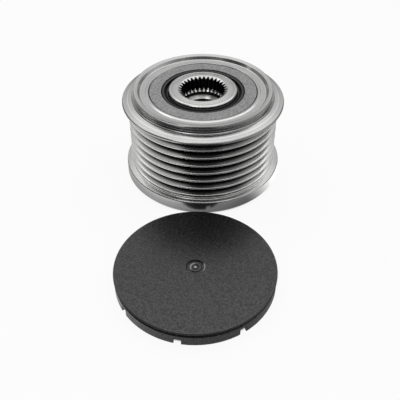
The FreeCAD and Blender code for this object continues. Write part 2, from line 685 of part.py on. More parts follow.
def write_parts(bodies):
    os.makedirs("parts", exist_ok=True)
    for body in bodies:
        body.Shape.exportStep(f"parts/{body.Label}.step")
        print(f"{body.Label}: {len(body.Shape.Solids)} solid(s), {body.Shape.Volume:.1f} mm3")


fill_sheet()
make_hub()
make_pulley_ring()
make_bearing("front", FRONT_BEARING)
make_bearing("rear", REAR_SEAT)
make_clutch_washer("front", SLEEVE_FRONT)
make_clutch_washer("rear", REAR_WASHER)
make_clutch_sleeve()
make_clutch_cage()
make_clutch_rollers()
make_clutch_springs()
make_cover("front", FRONT_SEAT, False)
make_cover("rear", REAR_SEAT, True)
make_end_cap()
doc.recompute()
all_bodies = [item for item in doc.Objects if item.TypeId == "PartDesign::Body"]
check_model(all_bodies)
write_parts(all_bodies)
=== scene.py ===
"""Looks of the alternator pulley and of its end cap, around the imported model.

Shapes are in millimetres; lamps, camera and floor size are in metres. Z is the shaft axis, and the camera
looks from -Y, where the cap lies.
"""

import json
from math import ceil, cos, pi, radians, sin, tan

import bpy
from mathutils import Matrix, Vector


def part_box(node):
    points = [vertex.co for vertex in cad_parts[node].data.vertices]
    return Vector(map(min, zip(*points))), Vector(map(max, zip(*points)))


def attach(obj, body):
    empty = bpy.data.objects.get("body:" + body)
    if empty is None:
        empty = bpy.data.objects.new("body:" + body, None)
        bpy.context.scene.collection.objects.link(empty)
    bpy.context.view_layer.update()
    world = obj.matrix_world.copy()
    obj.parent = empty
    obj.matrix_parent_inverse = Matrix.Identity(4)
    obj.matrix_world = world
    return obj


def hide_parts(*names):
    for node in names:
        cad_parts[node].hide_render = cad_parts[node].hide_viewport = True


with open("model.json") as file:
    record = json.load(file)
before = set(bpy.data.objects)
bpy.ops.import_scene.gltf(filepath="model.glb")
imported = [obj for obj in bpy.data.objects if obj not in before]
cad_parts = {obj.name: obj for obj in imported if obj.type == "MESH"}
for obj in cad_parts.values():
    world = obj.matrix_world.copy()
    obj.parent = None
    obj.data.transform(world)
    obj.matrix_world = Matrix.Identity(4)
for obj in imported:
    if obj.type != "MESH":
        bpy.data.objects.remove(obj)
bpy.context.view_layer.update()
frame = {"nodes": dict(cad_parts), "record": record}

MM = 0.001
FULL_TURN = 2 * pi


def corner(node, high):
    """The low (0) or the high (1) corner of a CAD node's box, in millimetres."""
    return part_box(node)[high] / MM


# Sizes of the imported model.
RING_FOOT = corner("pulley_ring", 0).z
RING_TOP = corner("pulley_ring", 1).z
FLANGE = corner("pulley_ring", 1).x
HUB_TOP = corner("hub", 1).z
COVER_EDGE = corner("front_cover_ring", 1).x
COVER_FACE = corner("front_cover_ring", 1).z
COVER_FOOT = corner("front_cover_ring", 0).z
REAR_COVER_FOOT = corner("rear_cover_ring", 1).z
FRONT_RACE_TOP = corner("front_inner_race", 1).z
REAR_RACE_TOP = corner("rear_inner_race", 1).z
CAP_LOW, CAP_HIGH = corner("end_cap", 0), corner("end_cap", 1)
CAP_MIDDLE = (CAP_LOW + CAP_HIGH) / 2
CAP_EDGE = (CAP_HIGH.x - CAP_LOW.x) / 2
CAP_TOP = CAP_HIGH.z

# Steps round the axis, and how corners are rounded and shaded.
TURNS = 288
SMALL_TURNS = 240
ARC_STEP = radians(22)
STRAIGHT = radians(3)
LONGEST_REACH = 0.45
SHARP = radians(32)
ON_AXIS = 1e-6

# Roundings of the corners.
SQUARE = 0
HAIR = 0.02
KEEN = 0.05
CRISP = 0.1
FINE = 0.12
SLIGHT = 0.15
SOFT = 0.2
EASED = 0.25
ROUND = 0.3
BROAD = 0.5
CROWNED = 0.8

# Belt grooves and flanges.
GROOVES = 7
RIB_PITCH = 3.56
GROOVE_DEPTH = 3.0
GROOVE_FLOOR = 0.8
FLANK_SLOPE = tan(radians(20))
CREST = FLANGE - 2.2
CREST_ROUND = 0.35
FLOOR_ROUND = 0.25
RIM_BREAK = 0.35
REAR_FLANGE_TOP = RING_FOOT + 4.85
LAST_CREST = REAR_FLANGE_TOP + 1.45
RELIEF = LAST_CREST - 0.8
RELIEF_HALF = 0.27
RELIEF_FLOOR = CREST - 0.5
RELIEF_LEAN = 0.12
FLANGE_TOP = LAST_CREST + RIB_PITCH * (GROOVES - 0.5) + 3.35
FRONT_RIM = 0.95

# Step, neck, lip and recess of the pulley ring.
STEP = 27.75
STEP_EDGE = FLANGE_TOP + 0.95
STEP_FOOT = 0.15
STEP_BREAK = 0.25
NECK = 26.3
NECK_TOP = RING_TOP - 1.75
LIP = 27.2
LIP_FOOT = RING_TOP - 1.0
LIP_BREAK = 0.2
LIP_MOUTH = 25.45
MOUTH_TOP = RING_TOP - 0.22
RECESS = 24.6
RECESS_FLOOR = RING_TOP - 1.45
BEAD = 22.45
BEAD_FOOT = 0.1
BEAD_SLOPE = 0.35
BEAD_TOP = RECESS_FLOOR + 0.25
COVER_SEAT = COVER_EDGE + 0.1
SEAT_SLOPE = 0.35
SEAT_TOP = RECESS_FLOOR - 0.3
BORE = COVER_SEAT - 1.0

# Hub, its tool socket and its thread.
HUB_SEAT = 13.3
HUB_BREAK = 0.5
HUB_CROWN = ((0.0, 0.45, SLIGHT), (0.25, 0.2, EASED), (0.75, 0.06, CROWNED), (1.3, 0.0, CROWNED))
LAND = 13.8
BEARING_WIDTH = 7.0
TEETH = 33
TOOTH_PERIOD = FULL_TURN / TEETH
TOOTH_TIP = 8.4
TOOTH_ROOT = 9.4
GAP_MOUTH = 1.35
GAP_FLOOR = 0.31
HALF_MOUTH = GAP_MOUTH / 2 / TOOTH_TIP
HALF_FLOOR = GAP_FLOOR / 2 / TOOTH_ROOT
GAP_END = HUB_TOP - 5.6
GAP_FOOT = GAP_END - 1.0
END_ROWS = 8
LEAD_WIDTH = 1.3
LEAD_DEPTH = 0.75
LEAD_ROWS = 8
LEAD_EDGE = 0.04
LEAD_EDGE_DROP = 0.01
CONE_TOP = HUB_TOP - 8.0
CONE_BREAK = 0.05
THREAD_MINOR = 7.19
THREAD_MAJOR = 8.02
THREAD_PITCH = 1.5
THREAD_FLAT = 0.14
THREAD_FLANK = 0.7
THREAD_ROWS = 10
THREAD_RUN_IN = 8
CONE_FOOT = CONE_TOP - (TOOTH_TIP - THREAD_MINOR)
THREAD_TOP = CONE_FOOT - 0.1
PILOT = 8.55
PILOT_DEPTH = 7.0
THREAD_END = PILOT_DEPTH + (PILOT - THREAD_MINOR)

# Cover rings and lip seals; their heights are from the cover's foot outwards.
COVER_EYE = 16.3
COVER_PLATE = 0.9
COVER_WALL = 1.0
COVER_BREAK = 0.2
COVER_HEIGHT = COVER_FACE - COVER_FOOT
COVER_UNDER = COVER_HEIGHT - COVER_PLATE
SEAL_LIP = HUB_SEAT + 0.06
SEAL_EDGE = COVER_EYE + 2.3
SEAL_BACK = COVER_UNDER - 0.7
SEAL_TUCK = COVER_UNDER + 0.1
LIP_ROOT = SEAL_LIP + 2.0
LIP_SHOULDER = SEAL_LIP + 1.0
LIP_BACK = COVER_UNDER - 1.6
LIP_FRONT = COVER_UNDER - 1.3
CREASE = SEAL_LIP + 0.6
CREASE_HEIGHT = COVER_UNDER - 0.95
DUST_LIP_BACK = COVER_UNDER - 0.65
DUST_LIP = SEAL_LIP + 0.15
DUST_LIP_HEIGHT = COVER_UNDER - 0.25
DUST_LIP_ROOT = SEAL_LIP + 0.75
DUST_LIP_TOP = COVER_UNDER + 0.05
TROUGH = SEAL_LIP + 0.85
TROUGH_EDGE = SEAL_LIP + 1.6
TROUGH_FLOOR = COVER_UNDER - 0.5
RIDGE = SEAL_LIP + 1.7
RIDGE_HEIGHT = COVER_UNDER + 0.55
RIDGE_EDGE = COVER_EYE - 0.8
RIDGE_TOP = COVER_UNDER + 0.7
SEAL_FACE_EDGE = COVER_EYE - 0.4
SEAL_FACE = COVER_UNDER + 0.6
SEAL_TUCK_EDGE = COVER_EYE - 0.1

# End cap: skirt, rim, notches and the gate in its middle.
CAP_SKIRT = 28.1
CAP_BORE = 27.3
CAP_CEILING = CAP_TOP - 1.6
CEILING_ROUND = 0.4
CAP_TURN = radians(-11.5)
RIM_FOOT = CAP_TOP - 1.0
RIM_SIDE_FOOT = CAP_TOP - 0.6
RIM_LEAN = 0.1
CAP_BREAK = 0.35
UNDERCUT = CAP_SKIRT - 0.9
UNDERCUT_FOOT = RIM_FOOT - 0.5
SHOULDER = CAP_SKIRT - 0.3
SHOULDER_TOP = RIM_FOOT - 0.6
SHOULDER_FOOT = RIM_FOOT - 0.9
SNAP_BEAD = CAP_BORE - 0.35
SNAP_BEAD_FOOT = 0.3
SNAP_BEAD_MIDDLE = 0.65
SNAP_BEAD_TOP = 1.0
NOTCHES = 8
NOTCH_REACH = 6
NOTCH_WIDTH = 2.5
NOTCH_HEIGHT = 2.7
GATE = 3.2
GATE_EDGE_ROUND = 0.06
GATE_LEAN = 0.3
GATE_FLOOR = CAP_TOP - 0.75
GATE_RING = 1.7
GATE_RING_HALF = 0.2
GATE_RING_FOOT = 0.5
GATE_RING_TOP = CAP_TOP - 0.15
PIP = 0.6
PIP_TOP = CAP_TOP - 0.2
PIP_LEAN = 0.1


# Meshes.


def softened(corners):
    """Points of a closed outline, from (radius, height, rounding) corners."""
    points = []
    for index, (radius, height, rounding) in enumerate(corners):
        here = Vector((radius, height))
        before = Vector(corners[index - 1][:2]) - here
        after = Vector(corners[(index + 1) % len(corners)][:2]) - here
        turn = pi - before.angle(after)
        if rounding == SQUARE or turn < STRAIGHT:
            points.append(here)
            continue
        reach = min(rounding * tan(turn / 2), before.length * LONGEST_REACH, after.length * LONGEST_REACH)
        start = here + before.normalized() * reach
        end = here + after.normalized() * reach
        steps = max(2, ceil(turn / ARC_STEP))
        for step in range(steps + 1):
            share = step / steps
            points.append(start * (1 - share) ** 2 + here * 2 * share * (1 - share) + end * share ** 2)
    return points


def fixed(point):
    """A row of a turned mesh that has the same radius and height all round."""
    return lambda angle: point


def spun(name, rows, angles):
    """Closed mesh turned about the shaft axis; each row gives (radius, height) at an angle."""
    spots, faces, starts = [], [], []
    columns = len(angles)
    for row in rows:
        starts.append(len(spots))
        on_axis = abs(row(0.0)[0]) < ON_AXIS
        for angle in angles[:1] if on_axis else angles:
            radius, height = row(angle)
            spots.append((radius * cos(angle) * MM, radius * sin(angle) * MM, height * MM))
    sizes = [after - start for start, after in zip(starts, starts[1:] + [len(spots)])]
    for index in range(len(rows)):
        following = (index + 1) % len(rows)
        here, there = starts[index], starts[following]
        wide, next_wide = sizes[index] > 1, sizes[following] > 1
        if not (wide or next_wide):
            continue
        for column in range(columns):
            beside = (column + 1) % columns
            face = [
                here + column * wide,
                here + beside * wide,
                there + beside * next_wide,
                there + column * next_wide,
            ]
            faces.append(list(dict.fromkeys(face)))
    mesh = bpy.data.meshes.new(name)
    mesh.from_pydata(spots, [], faces)
    return finished(name, mesh)


def finished(name, mesh):
    """Object from a mesh, shaded smooth with crisp edges where the surface really turns."""
    mesh.validate()
    mesh.shade_smooth()
    mesh.set_sharp_from_angle(angle=SHARP)
    thing = bpy.data.objects.new(name, mesh)
    bpy.context.scene.collection.objects.link(thing)
    weights = thing.modifiers.new("even_shading", "WEIGHTED_NORMAL")
    weights.keep_sharp = True
    return thing


def lathe(name, corners, count=TURNS):
    """Closed mesh of an outline turned about the shaft axis."""
    angles = [FULL_TURN * step / count for step in range(count)]
    return spun(name, [fixed(point) for point in softened(corners)], angles)


def hang_on(thing, body, node, slot):
    """Let a piece ride on a body, stand for its CAD node and take its finish from a slot."""
    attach(thing, body)
    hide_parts(node)
    thing.data.materials.clear()
    thing.data.materials.append(FINISHES[slot])


# Shader maths.

LEVEL = (1, 1, 0)
MIX_SHARE = 0
MIX_FIRST = 6
MIX_SECOND = 7
MIX_COLOUR = 2


class Wire:
    """A socket of a material. Arithmetic on it adds Math nodes, and node() adds any other node."""

    def __init__(self, tree, socket=None):
        self.tree = tree
        self.socket = socket

    def node(self, kind, settings=None, inputs=None, output=0):
        made = self.tree.nodes.new(kind)
        for key, value in (settings or {}).items():
            setattr(made, key, value)
        for key, value in (inputs or {}).items():
            if isinstance(value, Wire):
                self.tree.links.new(value.socket, made.inputs[key])
            else:
                made.inputs[key].default_value = value
        return Wire(self.tree, made.outputs[output] if len(made.outputs) else None)

    def maths(self, operation, first, second):
        return self.node("ShaderNodeMath", {"operation": operation}, {0: first, 1: second})

    def __add__(self, other):
        return self.maths("ADD", self, other)

    __radd__ = __add__

    def __sub__(self, other):
        return self.maths("SUBTRACT", self, other)

    def __rsub__(self, other):
        return self.maths("SUBTRACT", other, self)

    def __mul__(self, other):
        return self.maths("MULTIPLY", self, other)

    __rmul__ = __mul__


def new_finish(name):
    """Empty material, and a loose wire to start its nodes from."""
    material = bpy.data.materials.new(name)
    material.use_nodes = True
    material.node_tree.nodes.clear()
    return material, Wire(material.node_tree)


def place_mm(start):
    """Position in the part's own frame, in millimetres."""
    spot = start.node("ShaderNodeTexCoord", output="Object")
    return start.node("ShaderNodeVectorMath", {"operation": "SCALE"}, {0: spot, "Scale": 1 / MM})


def length(start, vector):
    return start.node("ShaderNodeVectorMath", {"operation": "LENGTH"}, {0: vector}, output="Value")


def along(start, vector, way):
    """How far a vector goes along a way, which is a vector too."""
    inputs = {0: vector, 1: way}
    return start.node("ShaderNodeVectorMath", {"operation": "DOT_PRODUCT"}, inputs, output="Value")


def apart(start, vector, middle):
    """Distance of a place from a middle."""
    inputs = {0: vector, 1: middle}
    return start.node("ShaderNodeVectorMath", {"operation": "DISTANCE"}, inputs, output="Value")


def upwards(start, vector):
    return start.node("ShaderNodeSeparateXYZ", None, {0: vector}, output="Z")


def reach_and_height(start, spot):
    """Distance from the shaft axis, and height above the floor."""
    flat = start.node("ShaderNodeVectorMath", {"operation": "MULTIPLY"}, {0: spot, 1: LEVEL})
    return length(start, flat), upwards(start, spot)


def noise(start, vector, scale, detail=2.0, roughness=0.5):
    inputs = {"Vector": vector, "Scale": scale, "Detail": detail, "Roughness": roughness}
    return start.node("ShaderNodeTexNoise", None, inputs)


def between(start, value, low, high, least=0.0, most=1.0):
    """least below low, most above high, smooth in between; a low above high turns it round."""
    inputs = {"Value": value, "From Min": low, "From Max": high, "To Min": least, "To Max": most}
    return start.node("ShaderNodeMapRange", {"interpolation_type": "SMOOTHSTEP"}, inputs)


def above(start, value, edge, blur):
    """1 above the edge, fading to 0 below it."""
    return between(start, value, edge - blur, edge)


def below(start, value, edge, blur):
    """1 below the edge, fading to 0 above it."""
    return between(start, value, edge + blur, edge)


def blend(start, share, first, second):
    """Colour between two, each a wire or (red, green, blue)."""
    inputs = {MIX_SHARE: share}
    for key, colour in ((MIX_FIRST, first), (MIX_SECOND, second)):
        inputs[key] = colour if isinstance(colour, Wire) else (*colour, 1)
    return start.node("ShaderNodeMix", {"data_type": "RGBA"}, inputs, output=MIX_COLOUR)


def bumped(start, height, depth_mm):
    return start.node("ShaderNodeBump", None, {"Height": height, "Distance": depth_mm * MM})


def put_on(start, shader):
    """Make a shader the material's surface."""
    start.node("ShaderNodeOutputMaterial", None, {"Surface": shader})


def grey(level):
    return level, level, level


# Turned and ground steel.

# Grey that painted shade darkens the steel towards: in the pulley's grooves and neck, on its outer edges
# and in the hub's bore.
PAINTED_SHADE_GREY = grey(0.04)
MIDDLE_SPAN = (0.35, 0.65)
WIDE_SPAN = (0.3, 0.7)

# Scales of the patterns, each about how often it changes in a millimetre, and their shares in the colour.
DRIFT_SCALE = 0.25
DRIFT = 0.15
FINE_SCALE = 5.0
FINE_DETAIL = 3.0
FINE_ROUGHNESS = 0.65
FINE_MARKS = 0.3
COARSE_SCALE = 1.6
COARSE_DETAIL = 1.0
COARSE_MARKS = 0.3
CLOUD_SCALE = 0.12
CLOUD_DETAIL = 3.0
CLOUDS = 0.25
GRAIN_SCALE = 1.6
GRAIN = 0.15

# Painted shade on the pulley ring: where it is darkened, and how much of the shade grey each place has; the
# crests are left lighter as a painted highlight.
DRUM_TOP = RING_TOP - 5.4
GROOVE_DEEP = CREST - 2.0
GROOVE_DEEP_PAINTED_SHADE = 0.65
NECK_SHADE_TOP = RING_TOP - 1.3
NECK_SHADE_FOOT = RING_TOP - 4.6
NECK_SHADE_IN = NECK - 0.1
NECK_PAINTED_SHADE = 0.25
FLANK_TOP = CREST - 0.25
CREST_IN = CREST - 0.2
CREST_OUT = CREST + 0.1
OFF_CREST_PAINTED_SHADE = 0.17
LIP_CORNER = LIP - 0.25
LIP_CORNER_FOOT = RING_TOP - 0.4
FLANGE_CORNER = FLANGE - 0.3
EDGE_PAINTED_SHADE = 0.3

# Where the painted shade in the hub's bore ends, and how far out it reaches.
TEETH_TOP = HUB_TOP - LEAD_DEPTH - 0.2
TEETH_FOOT = GAP_END + 0.1
WALL_TOP = GAP_FOOT - 0.1
WALL_FOOT = CONE_TOP + 0.1
THREAD_SHADE_TOP = CONE_TOP - 1.3
SOCKET_REACH = TOOTH_ROOT + 0.05


def tool_marks(start, spot):
    """Rings that a lathe leaves, fine and coarse, broken up a little round the piece."""
    reach, height = reach_and_height(start, spot)
    drift = noise(start, spot, DRIFT_SCALE) * DRIFT
    rings = start.node("ShaderNodeCombineXYZ", None, {0: reach + drift, 1: height + drift})
    fine = noise(start, rings, FINE_SCALE, FINE_DETAIL, FINE_ROUGHNESS)
    coarse = noise(start, rings, COARSE_SCALE, COARSE_DETAIL)
    return fine, between(start, coarse, *WIDE_SPAN)


def turned_steel(name, dark, light, roughness, spread, streak, mark_depth_mm, painted_shade_and_roughness=None, masked_roughness=0.0,
                 turn=0.0):
    """Steel with tool marks; the optional mask function, given reach and height, says where shade is
    painted on it and where it is rougher.
    """
    material, start = new_finish(name)
    spot = place_mm(start)
    marks, bands = tool_marks(start, spot)
    clouds = noise(start, spot, CLOUD_SCALE, CLOUD_DETAIL)
    grain = between(start, noise(start, spot, GRAIN_SCALE), *MIDDLE_SPAN)
    share = marks * FINE_MARKS + bands * COARSE_MARKS + clouds * CLOUDS + grain * GRAIN
    colour = blend(start, share, dark, light)
    rough = share * spread + (roughness - spread / 2)
    # Painted shade: the colour darkens towards the shade grey where the mask says, and roughness rises
    # where it says.
    if painted_shade_and_roughness:
        darker, rougher = painted_shade_and_roughness(start, *reach_and_height(start, spot))
        colour = blend(start, darker, colour, PAINTED_SHADE_GREY)
        rough = rough + rougher * masked_roughness
    put_on(start, start.node("ShaderNodeBsdfPrincipled", None, {
        "Base Color": colour,
        "Metallic": 1.0,
        "Roughness": rough,
        "Anisotropic": streak,
        "Anisotropic Rotation": turn,
        "Normal": bumped(start, marks, mark_depth_mm),
    }))
    return material


def groove_painted_shade(start, reach, height):
    """Painted shade in the belt grooves below their crests, on the neck under the lip and on the outer
    edges, with the crests left lighter as a painted highlight; the flanks and the neck are also rougher.
    """
    drum = below(start, height, DRUM_TOP, blur=0.2)
    deep = below(start, reach, GROOVE_DEEP, blur=1.3) * drum
    flanks = below(start, reach, FLANK_TOP, blur=0.23) * drum
    crests = above(start, reach, CREST_IN, blur=0.15) * below(start, reach, CREST_OUT, blur=0.2)
    neck = below(start, reach, STEP, blur=0.4) * below(start, height, NECK_SHADE_TOP, blur=0.3)
    neck = neck * above(start, height, NECK_SHADE_FOOT, blur=0.4)
    neck = neck * above(start, reach, NECK_SHADE_IN, blur=0.2)
    edges = above(start, reach, LIP_CORNER, blur=0.2) * above(start, height, LIP_CORNER_FOOT, blur=0.2)
    edges = edges + above(start, reach, FLANGE_CORNER, blur=0.2) * (1 - drum)
    # Painted shade in the deep grooves, on the neck and on the outer edges, and a little everywhere but on
    # the crests, which stand out as painted highlights.
    darker = deep * GROOVE_DEEP_PAINTED_SHADE + neck * NECK_PAINTED_SHADE + (1 - crests) * OFF_CREST_PAINTED_SHADE + edges * EDGE_PAINTED_SHADE
    return darker, flanks + neck


def socket_painted_shade(start, reach, height):
    """Painted shade deep in the bore, which is rougher there too: the broached teeth and the thread, apart
    from the lead-in, the sloping ends and the cone between.
    """
    teeth = above(start, height, TEETH_FOOT, blur=0.15) * below(start, height, TEETH_TOP, blur=0.2)
    wall = below(start, height, WALL_TOP, blur=0.15) * above(start, height, WALL_FOOT, blur=0.2)
    thread = below(start, height, THREAD_SHADE_TOP, blur=0.2)
    # Painted shade inside the bore, over the teeth, the wall and the thread.
    inside = below(start, reach, SOCKET_REACH, blur=0.15) * (teeth + wall + thread)
    return inside, inside


# Pressed sheet, rubber and moulded plastic.

# Pale grey that painted highlights on the cap lighten it towards.
PAINTED_HIGHLIGHT_GREY = grey(0.40)
DULL_SHINE = 0.1
GRAIN_ROUGHNESS = 0.6
GRAIN_SHARE = 0.6
WIDE_CLOUD_SCALE = 0.15
CLOUD_SHARE = 0.4

# Painted shade on the seal: places whose shine is taken away.
BY_HUB = SEAL_LIP + 0.2
SEAL_GROOVE = SEAL_LIP + 0.9
BY_COVER = COVER_EYE - 0.4

# Painted highlights on the cap and how pale each is.
CAP_HIGHLIGHT_FOOT = CAP_TOP - 0.3
PIP_FACE = PIP - 0.2
GATE_RING_BAND = 0.3
GATE_RING_SPAN = (0.3, 1.3)
GATE_RING_HIGHLIGHT = 0.6
GATE_RING_LEAST = 0.25
GLINT_BAND = 0.1
GLINT_REACH = GATE - 0.2
CAP_HIGHLIGHT_EDGE = CAP_EDGE - 0.25
CAP_EDGE_HIGHLIGHT = 0.07
TOWARDS_LEFT = (-0.9, 0.4, 0)
TOWARDS_RIGHT = (1.0, -0.1, 0)


def seal_painted_shade(start, spot):
    """Painted shade on the seal, as shine taken away: beside the hub, in the groove and beside the cover's
    eye.
    """
    reach, height = reach_and_height(start, spot)
    groove = above(start, reach, SEAL_GROOVE, blur=0.15) * below(start, reach, TROUGH_EDGE, blur=0.15)
    by_hub = below(start, reach, BY_HUB, blur=0.15)
    return by_hub + groove + above(start, reach, BY_COVER, blur=0.1)


def cap_painted_highlights(start, spot):
    """Painted highlights on the cap: the gate's pip, its ring most towards the left, a glint on its rim at
    the right and the outer edge.
    """
    reach, height = reach_and_height(start, spot)
    top = above(start, height, CAP_HIGHLIGHT_FOOT, blur=0.3)
    # Painted highlight on the gate's pip.
    pip = below(start, reach, PIP_FACE, blur=0.2)
    # Painted highlight on the gate's ring, strongest towards the left.
    ring = above(start, reach, GATE_RING - GATE_RING_BAND, blur=0.3)
    ring = ring * below(start, reach, GATE_RING + GATE_RING_BAND, blur=0.3)
    ring = ring * (between(start, along(start, spot, TOWARDS_LEFT), *GATE_RING_SPAN) + GATE_RING_LEAST)
    # Painted glint on the gate's rim, towards the right.
    glint = above(start, reach, GATE - GLINT_BAND, blur=0.2) * below(start, reach, GATE + GLINT_BAND, blur=0.2)
    glint = glint * above(start, along(start, spot, TOWARDS_RIGHT), GLINT_REACH, blur=0.4)
    # Painted highlight along the cap's outer edge.
    edge = above(start, reach, CAP_HIGHLIGHT_EDGE, blur=0.3)
    return (pip + ring * GATE_RING_HIGHLIGHT + edge * CAP_EDGE_HIGHLIGHT) * top + glint


def grained(name, dark, light, metallic, roughness, spread, grain_scale, grain_depth_mm, shine=0.5,
            pits=0.0, dull=None, pale=None):
    """Surface with a fine even grain: pressed sheet, moulded plastic or rubber.

    pits is how dull the grain's low spots are; dull says where painted shade takes away its shine, and pale
    where painted highlights make it pale.
    """
    material, start = new_finish(name)
    spot = place_mm(start)
    grain = noise(start, spot, grain_scale, roughness=GRAIN_ROUGHNESS)
    clouds = noise(start, spot, WIDE_CLOUD_SCALE)
    fine = between(start, grain, *MIDDLE_SPAN)
    share = fine * GRAIN_SHARE + clouds * CLOUD_SHARE
    colour = blend(start, share, dark, light)
    without_shine = (1 - fine) * pits
    # Painted highlights, towards a pale grey where pale says.
    if pale:
        colour = blend(start, pale(start, spot), colour, PAINTED_HIGHLIGHT_GREY)
    # Painted shade: shine taken away where dull says.
    if dull:
        without_shine = without_shine + dull(start, spot)
    look = {
        "Base Color": colour,
        "Metallic": metallic,
        "Specular IOR Level": shine,
        "Roughness": share * spread + (roughness - spread / 2),
        "Normal": bumped(start, grain, grain_depth_mm),
    }
    bright = start.node("ShaderNodeBsdfPrincipled", None, look)
    matt = start.node("ShaderNodeBsdfPrincipled", None, {**look, "Specular IOR Level": shine * DULL_SHINE})
    put_on(start, start.node("ShaderNodeMixShader", None, {0: without_shine, 1: bright, 2: matt}))
    return material


STEELS = {
    # The pulley ring and the hub take painted shade from their masks.
    "pulley_steel": dict(dark=grey(0.55), light=(0.88, 0.88, 0.87), roughness=0.17, spread=0.08, streak=0.2,
                         mark_depth_mm=0.005, painted_shade_and_roughness=groove_painted_shade, masked_roughness=0.02),
    "hub_steel": dict(dark=grey(0.40), light=(0.80, 0.80, 0.79), roughness=0.24, spread=0.10, streak=0.6,
                      mark_depth_mm=0.004, painted_shade_and_roughness=socket_painted_shade, masked_roughness=0.1, turn=0.25),
    "bearing_steel": dict(dark=grey(0.50), light=(0.72, 0.72, 0.73), roughness=0.20, spread=0.10,
                          streak=0.4, mark_depth_mm=0.002),
    "ball_steel": dict(dark=(0.66, 0.66, 0.67), light=(0.78, 0.78, 0.79), roughness=0.09, spread=0.05,
                       streak=0.0, mark_depth_mm=0.0005),
    "spring_steel": dict(dark=(0.42, 0.42, 0.44), light=(0.60, 0.60, 0.62), roughness=0.26, spread=0.10,
                         streak=0.0, mark_depth_mm=0.002),
}
GRAINED = {
    "cover_steel": dict(dark=grey(0.20), light=grey(0.44), metallic=0.55, roughness=0.46, spread=0.14,
                        grain_scale=1.3, grain_depth_mm=0.03),
    "cage_plastic": dict(dark=(0.05, 0.08, 0.06), light=(0.09, 0.13, 0.10), metallic=0.0, roughness=0.5,
                         spread=0.12, grain_scale=3.0, grain_depth_mm=0.01),
    # The seal takes painted shade through dull.
    "seal_rubber": dict(dark=grey(0.004), light=grey(0.012), metallic=0.0, roughness=0.36, spread=0.12,
                        grain_scale=2.0, grain_depth_mm=0.01, shine=0.6, dull=seal_painted_shade),
    # The cap takes painted highlights through pale.
    "cap_plastic": dict(dark=grey(0.0005), light=grey(0.003), metallic=0.0, roughness=0.26, spread=0.06,
                        grain_scale=2.2, grain_depth_mm=0.05, shine=1.0, pits=0.5, pale=cap_painted_highlights),
}
FINISHES = {
    **{name: turned_steel(name, **look) for name, look in STEELS.items()},
    **{name: grained(name, **look) for name, look in GRAINED.items()},
}


# Pulley ring.


def groove_corners():
    """The V grooves with round crests, from the last crest forwards."""
    half = GROOVE_FLOOR / 2 + GROOVE_DEPTH * FLANK_SLOPE
    corners = []
    for step in range(GROOVES):
        middle = LAST_CREST + RIB_PITCH * (step + 0.5)
        corners += [
            (CREST, middle - half, CREST_ROUND),
            (CREST - GROOVE_DEPTH, middle - GROOVE_FLOOR / 2, FLOOR_ROUND),
            (CREST - GROOVE_DEPTH, middle + GROOVE_FLOOR / 2, FLOOR_ROUND),
            (CREST, middle + half, CREST_ROUND),
        ]
    return corners


def make_pulley_ring():
    ring = lathe("turned_pulley_ring", [
        (COVER_SEAT, RING_FOOT, SOFT),
        (FLANGE - RIM_BREAK, RING_FOOT, SLIGHT),
        (FLANGE, RING_FOOT + RIM_BREAK, SOFT),
        (FLANGE, REAR_FLANGE_TOP - RIM_BREAK, SOFT),
        (FLANGE - RIM_BREAK, REAR_FLANGE_TOP, SLIGHT),
        (CREST - RELIEF_LEAN, RELIEF - RELIEF_HALF, CRISP),
        (RELIEF_FLOOR, RELIEF, SOFT),
        (CREST, RELIEF + RELIEF_HALF, CRISP),
        *groove_corners(),
        (FLANGE, FLANGE_TOP - FRONT_RIM, SOFT),
        (FLANGE, FLANGE_TOP - RIM_BREAK, SOFT),
        (FLANGE - RIM_BREAK, FLANGE_TOP, SOFT),
        (STEP + STEP_FOOT, STEP_EDGE - STEP_BREAK, CRISP),
        (STEP, STEP_EDGE, FINE),
        (STEP - STEP_BREAK, STEP_EDGE + STEP_BREAK, FINE),
        (NECK, STEP_EDGE + STEP_BREAK, SOFT),
        (NECK, NECK_TOP, SOFT),
        (LIP, LIP_FOOT, SLIGHT),
        (LIP, RING_TOP - LIP_BREAK, FINE),
        (LIP - LIP_BREAK, RING_TOP, FINE),
        (LIP_MOUTH, MOUTH_TOP, SLIGHT),
        (RECESS, RECESS_FLOOR, ROUND),
        (BEAD + BEAD_FOOT, RECESS_FLOOR, SLIGHT),
        (BEAD - BEAD_SLOPE, BEAD_TOP, BROAD),
        (COVER_SEAT + SEAT_SLOPE, BEAD_TOP, SLIGHT),
        (COVER_SEAT, SEAT_TOP, CRISP),
        (COVER_SEAT, COVER_FOOT, SQUARE),
        (BORE, COVER_FOOT, SQUARE),
        (BORE, REAR_COVER_FOOT, SQUARE),
        (COVER_SEAT, REAR_COVER_FOOT, SQUARE),
    ])
    hang_on(ring, "pulley", "pulley_ring", "pulley_steel")


# Hub.


def gap_depth(angle):
    """How far a tooth gap reaches beyond the tips at an angle; a gap is centred on zero."""
    offset = abs((angle + TOOTH_PERIOD / 2) % TOOTH_PERIOD - TOOTH_PERIOD / 2)
    share = min(1.0, max(0.0, (HALF_MOUTH - offset) / (HALF_MOUTH - HALF_FLOOR)))
    return share * (TOOTH_ROOT - TOOTH_TIP)


def toothed(radius, height):
    """Row across the teeth: it follows the gaps where they reach beyond the radius."""
    return lambda angle: (max(radius, TOOTH_TIP + gap_depth(angle)), height)


def sloping_end(radius, height):
    """Row across the cone that ends the gaps."""
    return lambda angle: (min(radius, TOOTH_TIP + gap_depth(angle)), height)


def threaded(height, share):
    """Row in the thread: the ridge winds forward once a pitch, with flats at root and crest."""
    def row(angle):
        phase = (height / THREAD_PITCH - angle / FULL_TURN) % 1.0
        wave = abs(phase - 0.5) * 2
        cut = min(1.0, max(0.0, (wave - THREAD_FLAT) / THREAD_FLANK))
        return THREAD_MINOR + share * cut * (THREAD_MAJOR - THREAD_MINOR), height
    return row


